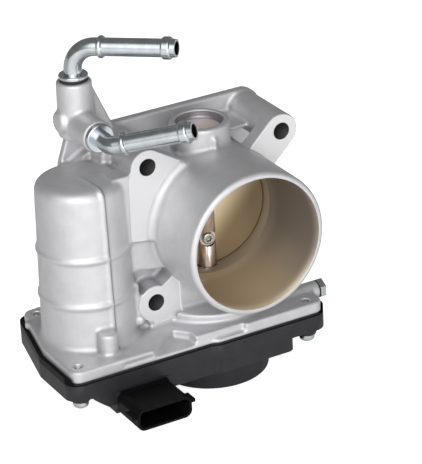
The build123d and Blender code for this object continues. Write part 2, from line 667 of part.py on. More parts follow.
def motor_end_cap():
    """Moulded brush plate that closes the motor's lower end."""
    inner_r = MOTOR_R - MOTOR_WALL
    plate = rod(CAN_BORE_R - 0.1, MOTOR_LOW_Z - 3, MOTOR_LOW_Z, MOTOR_X)
    spigot = ring(inner_r, inner_r - 1.6, MOTOR_LOW_Z - 0.5, MOTOR_LOW_Z + 4, MOTOR_X)
    collar = rod(6.0, MOTOR_LOW_Z - 5, MOTOR_LOW_Z, MOTOR_X)
    skirt = ring(CAN_BORE_R - 0.1, CAN_BORE_R - 2.4, PLATE_BASE - 1.5, MOTOR_LOW_Z - 1, MOTOR_X)
    ears = [rod(4.0, PLATE_BASE - 1.5, PLATE_BASE, x, y) for x, y in motor_screw_places()]
    holes = [rod(MOTOR_SCREW_R, PLATE_BASE - 3, PLATE_BASE + 1, x, y) for x, y in motor_screw_places()]
    ears = [ear - rod(CAN_BORE_R - 2.4, PLATE_BASE - 3, PLATE_BASE + 1, MOTOR_X) for ear in ears]
    body = plate.fuse(spigot, collar, skirt, *ears)
    return body.cut(rod(4.0, MOTOR_LOW_Z - 9, MOTOR_LOW_Z + 9, MOTOR_X), *holes)


def motor_bushes():
    """Sintered bushes at both ends of the motor shaft."""
    bore = MOTOR_SHAFT_R + RUNNING_GAP
    upper = ring(4.0, bore, MOTOR_TOP_Z - 1.8, MOTOR_TOP_Z + 1.4, MOTOR_X)
    lower = ring(4.0, bore, MOTOR_LOW_Z - 5, MOTOR_LOW_Z - 0.5, MOTOR_X)
    return group([upper, lower])


def motor_magnets():
    """Two curved magnets on the inside of the case."""
    outer_r = MOTOR_R - MOTOR_WALL
    tube = ring(outer_r, outer_r - 4.0, -30, 18, MOTOR_X)
    arcs = [tube & wedge(40, start, start + 140, -31, 26, MOTOR_X) for start in (20, 200)]
    return group(arcs)


def armature_core():
    """Laminated rotor with slots for the windings."""
    core = rod(ARMATURE_R, -24, 14, MOTOR_X)
    slots = []
    for index in range(ARMATURE_SLOTS):
        angle = 360 * index / ARMATURE_SLOTS
        x, y = polar(7.8, angle, MOTOR_X)
        slots.append(rod(1.7, -25, 15, x, y))
        mouth = Pos(MOTOR_X, SHAFT_Y, -2.5) * Rot(0, 0, angle) * Pos(9.5, 0, 0) * Box(4, 0.9, 50)
        slots.append(mouth)
    return core.cut(rod(MOTOR_SHAFT_R, -40, 40, MOTOR_X), *slots)


def armature_windings():
    """Copper end turns above and below the core, joined by the slot bundles."""
    ends = [ring(9.6, 4.2, 14, 18.5, MOTOR_X), ring(9.6, 4.2, -28.5, -24, MOTOR_X)]
    ends = [fillet(end.edges().filter_by(GeomType.CIRCLE), 1.2) for end in ends]
    bundles = [rod(1.6, -25, 15, *polar(7.8, 360 * i / ARMATURE_SLOTS, MOTOR_X))
               for i in range(ARMATURE_SLOTS)]
    return ends[0].fuse(ends[1], *bundles)


def commutator():
    """Copper barrel with thin gaps between its bars."""
    barrel = ring(5.5, MOTOR_SHAFT_R, -41, -30, MOTOR_X)
    gaps = [Pos(MOTOR_X, SHAFT_Y, -36.5) * Rot(0, 0, 360 * (i + 0.5) / COMMUTATOR_BARS) * Pos(5.4, 0, 0)
            * Box(1.6, 0.35, 10) for i in range(COMMUTATOR_BARS)]
    return barrel.cut(*gaps)


def motor_shaft():
    return rod(MOTOR_SHAFT_R, WHEEL_LOW_Z, MOTOR_TOP_Z + 1.0, MOTOR_X)


def motor_pinion():
    pinion = gear(PINION_TEETH, FAST_MODULE, WHEEL_LOW_Z, WHEEL_TOP_Z + 1.5, MOTOR_X, 0.0)
    return pinion.cut(rod(MOTOR_SHAFT_R, -80, -40, MOTOR_X))


def motor_brushes():
    """Carbon brushes that bear on the commutator from both sides."""
    reach = 5.5 + RUNNING_GAP
    brush = block(reach, 12, -2, 2, -38.5, -33.5)
    rounded = brush - rod(reach, -50, -20, 0, 0)
    return group([Pos(MOTOR_X, SHAFT_Y, 0) * Rot(0, 0, turn) * rounded for turn in (90, 270)])


def brush_holders():
    """Brass boxes that guide the brushes, standing on the end cap."""
    outer = block(8.5, 14.2, -3, 3, MOTOR_LOW_Z, -32.5)
    channel = block(7.5, 13.2, -2, 2, -38.5, -33.5)
    box = outer - channel
    return group([Pos(MOTOR_X, SHAFT_Y, 0) * Rot(0, 0, turn) * box for turn in (90, 270)])


def motor_wave_spring():
    """Spring washer between the motor and the roof of the can."""
    return ring(12.0, 8.5, MOTOR_TOP_Z, CAN_CEILING_Z, MOTOR_X)


def motor_screws():
    """Two screws that hold the motor's end cap to the casting."""
    return group([Pos(x, y, PLATE_BASE - 1.5) * Rot(180, 0, 0) * pan_screw(2.9, 1.8, MOTOR_SCREW_R, 6.0, 1.3)
                  for x, y in motor_screw_places()])


def motor_screw_places():
    return [polar(CAN_BORE_R + 3.4, angle, MOTOR_X) for angle in (125, 235)]


def motor_terminals():
    """Two flat tabs from the motor's end cap down to the cover."""
    x = MOTOR_X - 8
    return group([block(x - 2.2, x + 2.2, y - 0.4, y + 0.4, -58.8, MOTOR_LOW_Z - 3)
                  for y in (SHAFT_Y - 6, SHAFT_Y + 6)])


# ---------------------------------------------------------------- cover and electrics

def cover_outline(grow=0.0):
    """The cover stands proud of the plate at both ends and at the back."""
    return [(-92.4 - grow, -61.4 - grow), (-18, -61.4 - grow), (-15, -62.9 - grow),
            (44.4 + grow, -62.9 - grow), (44.4 + grow, 6 + grow), (-61, 6 + grow),
            (-71.5, 13 + grow), (-83.6 - grow, 12 + grow), (-92.4 - grow, -29)]


def deep_outline(inset=0.0):
    """The deeper floor of the cover, under the gears and behind the connector."""
    return [(-81.5 + inset, -61.0 + inset), (-18, -61.0 + inset), (-15, -62.4 + inset),
            (26 - inset, -62.4 + inset), (26 - inset, 2.4 - inset), (-36, 2.4 - inset),
            (-54, -3.6 - inset), (-63, -14 - inset), (-81.5 + inset, -14 - inset)]


def socket_section(width, height, radius, y0, y1):
    """Rounded rectangular bar along Y, centred on the connector."""
    bar = Pos(SOCKET_X, (y0 + y1) / 2, SOCKET_Z) * Box(width, y1 - y0, height)
    return fillet(bar.edges().filter_by(Axis.Y), radius)


def connector_shell():
    """Six-way plug shell with side tabs and a latch ramp below."""
    shell = socket_section(SOCKET_W, SOCKET_H, 3.6, SOCKET_MOUTH_Y, -56)
    neck = block(SOCKET_X - SOCKET_W / 2, SOCKET_X + SOCKET_W / 2, -62, -50,
                 SOCKET_Z - SOCKET_H / 2, LEVEL_ONE)
    tab_z = SOCKET_Z + 1.6
    tabs = [block(SOCKET_X + sx * 15 - 1.4, SOCKET_X + sx * 15 + 1.4, SOCKET_MOUTH_Y + 1, SOCKET_MOUTH_Y + 8,
                  tab_z - 0.8, tab_z + 0.8) for sx in (-1, 1)]
    ramp_low = SOCKET_Z - SOCKET_H / 2 - 1.9
    latch = block(SOCKET_X - 2.2, SOCKET_X + 2.2, SOCKET_MOUTH_Y + 2, SOCKET_MOUTH_Y + 9, ramp_low, SOCKET_Z)
    latch = chamfer(latch.edges().group_by(Axis.Z)[0].sort_by(Axis.Y)[0], 1.5)
    return [shell, neck, latch] + tabs


def connector_hollow():
    """The socket's hollow, with a guide rib left on each short side."""
    inner = socket_section(SOCKET_W - 2 * SOCKET_WALL, SOCKET_H - 2 * SOCKET_WALL, 2.4,
                           SOCKET_MOUTH_Y - 1, SOCKET_FLOOR_Y)
    edge = SOCKET_W / 2 - SOCKET_WALL
    ribs = [block(SOCKET_X + sx * edge - 1.1, SOCKET_X + sx * edge + 1.1, SOCKET_MOUTH_Y + 2, SOCKET_FLOOR_Y,
                  SOCKET_Z - 0.7, SOCKET_Z + 0.7) for sx in (-1, 1)]
    return inner.cut(*ribs)


def pin_places():
    start = SOCKET_X - PIN_PITCH * (PIN_COUNT - 1) / 2
    return [start + PIN_PITCH * i for i in range(PIN_COUNT)]


def connector_pins():
    """Six straight blades moulded into the cover."""
    size = 0.8
    z = SOCKET_Z + 0.8
    return group([block(x - size / 2, x + size / 2, PIN_TIP_Y, -57.5, z - size / 2, z + size / 2)
                  for x in pin_places()])


def gear_cover():
    """Plastic cover: rim, two floor levels, the round sensor housing and the connector."""
    rim = sheet(cover_outline(), 7, COVER_TOP, RIM_TOP)
    rim_gap = sheet(plate_gap_outline(), 5, COVER_TOP - 0.1, RIM_TOP + 1)
    front_trim = block(-86, 36, -66, -56, COVER_TOP, RIM_TOP + 1)
    floor_one = sheet(cover_outline(), 7, LEVEL_ONE, COVER_TOP)
    slope = 9.0
    floor_two = sheet(deep_outline(), 4, LEVEL_TWO, LEVEL_ONE)
    lean = wall([(-82.5, LEVEL_ONE), (-82.4, LEVEL_TWO - 1), (-81.5 + slope, LEVEL_TWO - 1)], -70, 20)
    bump = rod(SENSOR_BUMP_R, SENSOR_BUMP_LOW, LEVEL_ONE)
    bump = fillet(bump.edges().group_by(Axis.Z)[0], 1.5)
    shell = floor_one.fuse((rim - rim_gap) - front_trim, floor_two - lean, bump, *connector_shell())
    chamber = sheet(cover_outline(-4.6), 4, LEVEL_ONE + COVER_WALL, COVER_TOP + 1)
    deep = sheet(deep_outline(2.6), 2, LEVEL_TWO + COVER_WALL, LEVEL_ONE + 3)
    deep = deep - block(-90, -71.5, -70, 20, -80, LEVEL_ONE + COVER_WALL)
    sensor = rod(SENSOR_BUMP_R - COVER_WALL, SENSOR_BUMP_LOW + COVER_WALL, LEVEL_TWO + 3)
    posts = [rod(4.6, SCREW_PAD_Z, COVER_TOP, x, y) for x, y in COVER_SCREWS]
    backing = block(SOCKET_X - 12, SOCKET_X + 12, -66, -56.5, LEVEL_TWO, LEVEL_ONE + 0.5)
    boards = [rod(1.6, SENSOR_BUMP_LOW + 1, -79.2, *polar(19, 60 + 120 * i)) for i in range(3)]
    pin_post = rod(4.4, LEVEL_TWO + 1, IDLER_PIN_LOW_Z + 0.6, IDLER_X)
    shell = shell.cut(chamber, deep, sensor)
    shell = shell.fuse(backing, *posts, *boards) + pin_post
    shell = shell.cut(connector_hollow(), connector_pins(), rod(IDLER_PIN_R, IDLER_PIN_LOW_Z, -60, IDLER_X))
    shell = shell.cut(*[rod(COVER_SCREW_R + 0.2, -90, COVER_TOP + 1, x, y) for x, y in COVER_SCREWS])
    shell = shell.cut(rod_x(STOP_BOSS_R + 0.5, 38, 60, STOP_Y, STOP_Z))
    return max(shell.solids(), key=lambda solid: solid.volume)


def plate_gap_outline():
    """Plate outline grown a little, so that the cover's rim clears the casting."""
    return [(-90.7, -63), (-18, -63), (-15, -64), (42.8, -64), (42.8, 3.9), (-61.9, 3.9),
            (-71.9, 10.9), (-82.1, 10.2), (-90.7, -30)]


def cover_seal():
    """Flat rubber ring between the casting and the cover."""
    outer = sheet(seal_outline(0.0), 4, COVER_TOP, PLATE_BASE)
    inner = sheet(seal_outline(1.8), 3, COVER_TOP - 1, PLATE_BASE + 1)
    eyes = [rod(4.0, COVER_TOP, PLATE_BASE, x, y) for x, y in COVER_SCREWS]
    holes = [rod(COVER_SCREW_R + 0.2, COVER_TOP - 1, PLATE_BASE + 1, x, y) for x, y in COVER_SCREWS]
    return (outer - inner).fuse(*eyes).cut(*holes)


def seal_outline(inset):
    return [(-89.6 + inset, -60.2 + inset), (-18, -60.2 + inset), (-15, -61.7 + inset),
            (41.6 - inset, -61.7 + inset), (41.6 - inset, 2.8 - inset), (-62.4, 2.8 - inset),
            (-72.4, 9.8 - inset), (-81.2 + inset, 9.0 - inset), (-89.6 + inset, -30)]


def cover_screws():
    """Screws driven from below, whose narrowed tips show in the recesses on top of the gear plate."""
    length = PLATE_TOP - TIP_RECESS_DEPTH - SCREW_PAD_Z
    screw = pan_screw(SCREW_HEAD_R, SCREW_HEAD_H, COVER_SCREW_R, length, 1.8)
    tip = Pos(0, 0, -length) * Cylinder(1.45, 2.0)
    screw = screw + chamfer(tip.edges().group_by(Axis.Z)[0], 0.4)
    return group([Pos(x, y, SCREW_PAD_Z) * Rot(180, 0, 0) * screw
                  for x, y in COVER_SCREWS])


def sensor_magnet():
    """Ring magnet in a carrier on the shaft's end."""
    return rod(6.2, -73.0, SHAFT_END)


def sensor_board():
    """Round circuit board in the sensor housing, with its position chip."""
    top = -77.6
    board = rod(22.5, top - 1.6, top)
    chip = block(-3, 3, SHAFT_Y - 3, SHAFT_Y + 3, top, top + 1.4)
    parts = [block(sx * 11 - 1.6, sx * 11 + 1.6, SHAFT_Y - 2, SHAFT_Y + 2, top, top + 1) for sx in (-1, 1)]
    return board.fuse(chip, *parts)


# ---------------------------------------------------------------- fittings

def bent_tube(radius, start, corner, end, bend_r):
    """Round bar along two straight runs with a bend between them."""
    path = FilletPolyline(start, corner, end, radius=bend_r)
    section = Plane(origin=path @ 0, z_dir=path % 0) * Circle(radius)
    return sweep(section, path=path)


def collar(centre, direction, radius, inner, length, round_r):
    """Rounded bead round a tube."""
    bead = Cylinder(radius, length)
    bead = fillet(bead.edges().filter_by(GeomType.CIRCLE), round_r)
    return Plane(origin=centre, z_dir=direction) * (bead - Cylinder(inner, length * 3))


def hose_nipple(start, seat, corner, direction, reach, bend_r, stop_gap):
    """Bent hose fitting: spigot, seat flange, stop bead and hose bead, bored right through."""
    corner = Vector(*corner)
    along = Vector(*direction)
    end = corner + along * reach
    axis = (corner - Vector(*start)).normalized()
    outer = bent_tube(NIPPLE_R, start, tuple(corner), tuple(end), bend_r)
    spigot = Plane(origin=start, z_dir=axis) * Pos(0, 0, 3.7) * Cylinder(NIPPLE_R + 0.4, 7.4)
    flange = Plane(origin=seat, z_dir=axis) * Pos(0, 0, 1.0) * Cylinder(NIPPLE_FLANGE_R, 2.0)
    flange = fillet(flange.edges().filter_by(GeomType.CIRCLE), 0.7)
    stop_at = corner + along * (bend_r + stop_gap)
    lip_at = end - along * 4.4
    beads = [collar(stop_at, along, NIPPLE_BEAD_R, NIPPLE_R - 0.5, 2.6, 1.1),
             collar(lip_at, along, NIPPLE_BEAD_R, NIPPLE_R - 0.5, 4.4, 1.0)]
    past = end + along * 1.0
    before = Vector(*start) - axis
    inner = bent_tube(NIPPLE_BORE_R, tuple(before), tuple(corner), tuple(past), bend_r)
    return outer.fuse(spigot, flange, *beads) - inner


def aim(turn_deg, rise_deg):
    """Unit direction turned about Z from +X and tipped up from level."""
    flat = cos(radians(rise_deg))
    return (flat * cos(radians(turn_deg)), flat * sin(radians(turn_deg)), sin(radians(rise_deg)))


def upper_coolant_nipple():
    seat_z = COOLANT_TOP_Z + UPPER_RING_GAP
    return hose_nipple((COOLANT_X, COOLANT_Y, COOLANT_TOP_Z - 7.9), (COOLANT_X, COOLANT_Y, seat_z),
                       (COOLANT_X, COOLANT_Y, UPPER_TUBE_Z), aim(UPPER_TUBE_TURN, UPPER_TUBE_RISE),
                       UPPER_TUBE_REACH, 12.0, 2.6)


def lower_coolant_nipple():
    seat_y = SIDE_BOSS_Y - LOWER_RING_GAP
    return hose_nipple((COOLANT_X, SIDE_BOSS_Y + 7.9, COOLANT_LOW_Z), (COOLANT_X, seat_y, COOLANT_LOW_Z),
                       (COOLANT_X, LOWER_TUBE_Y, COOLANT_LOW_Z), aim(LOWER_TUBE_TURN, LOWER_TUBE_RISE),
                       LOWER_TUBE_REACH, 5.4, 1.5)


def nipple_o_rings():
    """Rubber rings under the flange of each fitting."""
    upper = ring(6.6, NIPPLE_R + 0.4, COOLANT_TOP_Z, COOLANT_TOP_Z + UPPER_RING_GAP, COOLANT_X, COOLANT_Y)
    lower = rod_y(6.6, SIDE_BOSS_Y - LOWER_RING_GAP, SIDE_BOSS_Y, COOLANT_X, COOLANT_LOW_Z)
    lower = lower - rod_y(NIPPLE_R + 0.4, SIDE_BOSS_Y - 3, SIDE_BOSS_Y + 1, COOLANT_X, COOLANT_LOW_Z)
    return group([upper, lower])


def stop_screw():
    """Set screw whose slimmer point stops the sector's arm when the plate is closed."""
    point = rod_x(STOP_POINT_R, STOP_TIP_X, 23, STOP_Y, STOP_Z)
    body = rod_x(STOP_R, 22, STOP_SCREW_END, STOP_Y, STOP_Z)
    body = fillet(body.edges().group_by(Axis.X)[-1], 0.8)
    socket = rod_x(1.2, STOP_SCREW_END - 2, STOP_SCREW_END + 1, STOP_Y, STOP_Z)
    return body + point - socket


def stop_locknut():
    """Hexagon nut that locks the stop screw against its boss."""
    hexagon = extrude(RegularPolygon(STOP_NUT_R, 6), amount=STOP_NUT_T)
    nut = Pos(STOP_BOSS_END, STOP_Y, STOP_Z) * Rot(0, 90, 0) * hexagon
    return nut - rod_x(STOP_R, 40, 60, STOP_Y, STOP_Z)


# ---------------------------------------------------------------- output

def all_parts():
    outer_ring, inner_ring = lower_bearing_rings()
    upper_seal, lower_seal = shaft_seals()
    return {
        "throttle_body_casting": throttle_body_casting(),
        "throttle_shaft": throttle_shaft(),
        "throttle_plate": throttle_plate(),
        "plate_screws": plate_screws(),
        "upper_needle_bearing": upper_needle_bearing(),
        "lower_bearing_outer_ring": outer_ring,
        "lower_bearing_inner_ring": inner_ring,
        "lower_bearing_balls": lower_bearing_balls(),
        "upper_shaft_seal": upper_seal,
        "lower_shaft_seal": lower_seal,
        "upper_shaft_cap": upper_shaft_cap(),
        "sector_gear": sector_gear(),
        "sector_insert": sector_insert(),
        "shaft_nut": shaft_nut(),
        "return_spring": return_spring(),
        "intermediate_gear": intermediate_gear(),
        "intermediate_gear_pin": intermediate_gear_pin(),
        "motor_case": motor_case(),
        "motor_end_cap": motor_end_cap(),
        "motor_bushes": motor_bushes(),
        "motor_magnets": motor_magnets(),
        "armature_core": armature_core(),
        "armature_windings": armature_windings(),
        "commutator": commutator(),
        "motor_shaft": motor_shaft(),
        "motor_pinion": motor_pinion(),
        "motor_brushes": motor_brushes(),
        "brush_holders": brush_holders(),
        "motor_wave_spring": motor_wave_spring(),
        "motor_screws": motor_screws(),
        "motor_terminals": motor_terminals(),
        "gear_cover": gear_cover(),
        "cover_seal": cover_seal(),
        "cover_screws": cover_screws(),
        "connector_pins": connector_pins(),
        "sensor_magnet": sensor_magnet(),
        "sensor_board": sensor_board(),
        "upper_coolant_nipple": upper_coolant_nipple(),
        "lower_coolant_nipple": lower_coolant_nipple(),
        "nipple_o_rings": nipple_o_rings(),
        "stop_screw": stop_screw(),
        "stop_locknut": stop_locknut(),
    }


os.makedirs("parts", exist_ok=True)
for name, shape in all_parts().items():
    export_step(shape, os.path.join("parts", name + ".step"))
    print(name, round(shape.volume, 1))
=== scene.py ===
from math import cos, radians, sin

import bmesh
import bpy
from mathutils import Matrix, Vector


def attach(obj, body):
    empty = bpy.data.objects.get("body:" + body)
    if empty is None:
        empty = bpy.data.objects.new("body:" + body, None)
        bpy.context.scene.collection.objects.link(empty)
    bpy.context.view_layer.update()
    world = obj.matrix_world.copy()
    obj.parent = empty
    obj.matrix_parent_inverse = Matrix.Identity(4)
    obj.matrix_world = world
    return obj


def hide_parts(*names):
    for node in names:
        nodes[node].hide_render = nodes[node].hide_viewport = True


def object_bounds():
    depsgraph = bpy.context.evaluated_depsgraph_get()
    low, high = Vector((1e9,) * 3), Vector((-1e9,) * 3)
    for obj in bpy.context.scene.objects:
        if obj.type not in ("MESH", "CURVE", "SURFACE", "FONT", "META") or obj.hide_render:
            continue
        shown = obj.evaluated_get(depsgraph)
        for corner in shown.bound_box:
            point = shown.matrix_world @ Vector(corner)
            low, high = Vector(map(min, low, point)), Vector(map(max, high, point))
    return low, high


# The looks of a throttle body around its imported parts. Lengths are in metres, and MM turns
# millimetres into them. The casting gets a surface of its own, with the soft edges and filled
# corners that a die casting has, and its machined holes are then cut into it.

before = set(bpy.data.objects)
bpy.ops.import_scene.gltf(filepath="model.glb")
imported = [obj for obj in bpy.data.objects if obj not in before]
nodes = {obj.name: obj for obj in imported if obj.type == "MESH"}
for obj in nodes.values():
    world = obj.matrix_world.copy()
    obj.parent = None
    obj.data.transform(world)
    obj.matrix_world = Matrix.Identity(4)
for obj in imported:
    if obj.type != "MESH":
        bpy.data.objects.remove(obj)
cad_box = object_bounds()

MM = 0.001


# ---------------------------------------------------------------- materials

CUT_ALLOY = (0.74, 0.74, 0.745)
# grey of the painted shade in the casting's pockets and beside the can's seam
PAINTED_SHADE_GREY = (0.36, 0.36, 0.37)
# where the painted shade line beside the can's seam lies: across the seam, then outwards from the can's axis,
# in mm
SEAM_SHADE_LINE = (0.3, 0.7, 1.1, 1.6)
SEAM_SHADE_RUN = (8, 10, 25, 26)
MANIFOLD_SKIN = (-0.25, -0.1)
CAP_FLOOR_R = 9.4
SPOT_FACE_R = 4.1
# radius beyond which the plate's edge gets a painted shadow
PLATE_GAP_SHADOW_R = 29.2
SHELL_Y = -63.0
COVER_RIM_Z = -54.0


class NodeTree:
    """Short ways to build the node tree of a material or a world."""

    def __init__(self, owner):
        owner.use_nodes = True
        self.nodes = owner.node_tree.nodes
        self.links = owner.node_tree.links

    def add(self, kind, **settings):
        node = self.nodes.new(kind)
        for key, value in settings.items():
            setattr(node, key, value)
        return node

    def put(self, socket, value):
        """Links an output to an input, or sets the input's own value."""
        if isinstance(value, bpy.types.NodeSocket):
            self.links.new(value, socket)
        else:
            socket.default_value = value

    def vector(self, operation, *values, **named):
        node = self.add("ShaderNodeVectorMath", operation=operation)
        for socket, value in zip(node.inputs, values):
            self.put(socket, value)
        for name, value in named.items():
            self.put(node.inputs[name], value)
        return node.outputs[0]

    def maths(self, operation, *values):
        node = self.add("ShaderNodeMath", operation=operation)
        for socket, value in zip(node.inputs, values):
            self.put(socket, value)
        return node.outputs[0]

    def fit(self, value, low, high, to_low=0.0, to_high=1.0):
        """Value from low..high, smoothly, to to_low..to_high."""
        node = self.add("ShaderNodeMapRange", interpolation_type="SMOOTHSTEP")
        for name, number in (("Value", value), ("From Min", low), ("From Max", high),
                             ("To Min", to_low), ("To Max", to_high)):
            self.put(node.inputs[name], number)
        return node.outputs["Result"]


class Finish(NodeTree):
    """A node material. Its textures are laid out in millimetres in the part's own frame."""

    def __init__(self, name, colour, metallic=0.0, roughness=0.5):
        self.material = bpy.data.materials.new(name)
        super().__init__(self.material)
        self.shader = self.nodes["Principled BSDF"]
        self.set("Base Color", (*colour, 1))
        self.set("Metallic", metallic)
        self.set("Roughness", roughness)
        self.place = self.vector("SCALE", self.add("ShaderNodeTexCoord").outputs["Object"], Scale=1 / MM)

    def set(self, name, value):
        self.put(self.shader.inputs[name], value)

    def colour(self):
        """The output that feeds the base colour so far."""
        return self.shader.inputs["Base Color"].links[0].from_socket

    def axis(self, name):
        """A point's place along one axis of the part's frame, in mm."""
        node = self.add("ShaderNodeSeparateXYZ")
        self.put(node.inputs["Vector"], self.place)
        return node.outputs[name]

    def noise(self, size, detail=3.0, stretch=(1, 1, 1)):
        """Soft noise from 0 to 1, whose blotches are about size mm across."""
        node = self.add("ShaderNodeTexNoise")
        self.put(node.inputs["Vector"], self.vector("MULTIPLY", self.place, Vector(stretch)))
        self.put(node.inputs["Scale"], 1 / size)
        self.put(node.inputs["Detail"], detail)
        return node.outputs["Fac"]

    def blotches(self, size, detail=3.0, to_low=0.0, to_high=1.0):
        """Noise with its middle range spread over to_low..to_high."""
        return self.fit(self.noise(size, detail), 0.3, 0.7, to_low, to_high)

    def band(self, value, start, full, fade, end):
        """0 outside start..end, 1 between full and fade."""
        return self.maths("MULTIPLY", self.fit(value, start, full), self.fit(value, end, fade))

    def mix(self, factor, first, second):
        node = self.add("ShaderNodeMix", data_type="RGBA")
        for name, value in (("Factor_Float", factor), ("A_Color", first), ("B_Color", second)):
            socket = next(s for s in node.inputs if s.identifier == name)
            self.put(socket, (*value, 1) if isinstance(value, tuple) else value)
        return next(s for s in node.outputs if s.identifier == "Result_Color")

    def bump(self, height, distance):
        """Adds relief of up to distance mm to what is there already."""
        node = self.add("ShaderNodeBump")
        self.put(node.inputs["Height"], height)
        self.put(node.inputs["Distance"], distance * MM)
        previous = self.shader.inputs["Normal"].links
        if previous:
            self.put(node.inputs["Normal"], previous[0].from_socket)
        self.set("Normal", node.outputs["Normal"])

    def far(self, across, up):
        """Distance of a point from the origin of two axes."""
        return self.maths("SQRT", self.maths(
            "ADD", self.maths("MULTIPLY", across, across), self.maths("MULTIPLY", up, up)))

    def toward(self, angle, x, y):
        """How far a point lies from an upright axis at (x, y), measured along a level direction."""
        across = self.maths("SUBTRACT", self.axis("X"), x)
        along = self.maths("SUBTRACT", self.axis("Y"), y)
        return self.maths("ADD", self.maths("MULTIPLY", across, cos(angle)),
                          self.maths("MULTIPLY", along, sin(angle)))

    def painted_shade_mask(self, reach):
        """Mask for painted shade, from ambient occlusion: 0 deep in corners and pockets, 1 on open faces;
        reach is in mm.
        """
        node = self.add("ShaderNodeAmbientOcclusion", samples=8, only_local=False)
        self.put(node.inputs["Distance"], reach * MM)
        return self.fit(node.outputs["AO"], 0.25, 0.9)


def tinted(name, colour, dark, metallic, roughness, size, grain=0.02, grain_size=0.4):
    """A finish with blotches of a second tint, uneven roughness and a fine grain."""
    finish = Finish(name, colour, metallic, roughness)
    finish.set("Base Color", finish.mix(finish.blotches(size, 4), dark, colour))
    finish.set("Roughness", finish.blotches(size * 0.6, 3, roughness * 0.85, roughness * 1.15))
    finish.bump(finish.noise(grain_size, 2), grain)
    return finish


def cast_alloy():
    """Fine-blasted die-cast aluminium: pale grey, with faint mottling, painted shade in its pockets and
    creases, a painted shade line beside the mould seam on the can and a freshly cut manifold face."""
    finish = Finish("cast_alloy", (0.62, 0.62, 0.64), 0.68, 0.5)
    colour = finish.mix(finish.blotches(7, 5), (0.61, 0.61, 0.625), (0.65, 0.648, 0.66))
    # painted shade: darker grey in pockets, and darker still in tight creases, from ambient occlusion
    colour = finish.mix(finish.painted_shade_mask(7.0), PAINTED_SHADE_GREY, colour)
    colour = finish.mix(finish.painted_shade_mask(1.6), (0.34, 0.34, 0.35), colour)
    # painted shade: a dark line just beside the mould seam on the can, in place of the shade of the seam's
    # step
    along, aside = radians(SEAM_ANGLE), radians(SEAM_ANGLE + 90)
    out = finish.toward(along, MOTOR_X, SHAFT_Y)
    beside = finish.toward(aside, MOTOR_X, SHAFT_Y)
    below_top = finish.fit(finish.axis("Z"), CAN_TOP_Z + 1, CAN_TOP_Z)
    shade = finish.maths("MULTIPLY", finish.band(beside, *SEAM_SHADE_LINE), finish.band(out, *SEAM_SHADE_RUN))
    shade = finish.maths("MULTIPLY", shade, below_top)
    colour = finish.mix(shade, colour, PAINTED_SHADE_GREY)
    cut = finish.fit(finish.axis("Y"), *MANIFOLD_SKIN)
    finish.set("Base Color", finish.mix(cut, colour, CUT_ALLOY))
    finish.set("Roughness", finish.blotches(5, 3, 0.49, 0.53))
    finish.bump(finish.noise(0.6, 3), 0.08)
    finish.bump(finish.noise(2.2, 2), 0.07)
    return finish.material


def machined_alloy():
    """Freshly cut aluminium with fine tool lines."""
    finish = Finish("machined_alloy", CUT_ALLOY, 0.6, 0.5)
    finish.bump(finish.noise(0.8, 2, (1, 1, 0.05)), 0.01)
    return finish.material


def drilled_alloy():
    """Rough walls of the drilled bolt holes, painted nearly black as shade, since little light reaches them.
    """
    # painted shade: the hole walls are coloured nearly black
    finish = Finish("drilled_alloy", (0.02, 0.02, 0.02), 0.1, 0.6)
    finish.bump(finish.noise(0.6, 2, (0.2, 1, 0.2)), 0.03)
    return finish.material


def bore_coating():
    """Thin coating on the machined bore: sand in the throat, and elsewhere painted light and shade, from pale
    sand at the lower left of the mouth to brown-grey at its upper right."""
    finish = Finish("bore_coating", (0.30, 0.27, 0.23), 0.5, 0.42)
    # painted light and shade: lit pale sand to the lower left, shaded brown-grey to the upper right
    low = finish.maths("ADD", finish.maths("MULTIPLY", finish.axis("Z"), 0.8),
                       finish.maths("MULTIPLY", finish.axis("X"), 0.6))
    colour = finish.mix(finish.fit(low, -34, 14, 1.0, 0.0), (0.25, 0.22, 0.19), (0.66, 0.53, 0.36))
    throat = finish.fit(finish.axis("Y"), THROAT_Y - 0.3, THROAT_Y + 0.3)
    colour = finish.mix(throat, colour, (0.42, 0.345, 0.25))
    finish.set("Base Color", colour)
    finish.bump(finish.noise(0.5, 2, (1, 0.1, 1)), 0.006)
    return finish.material


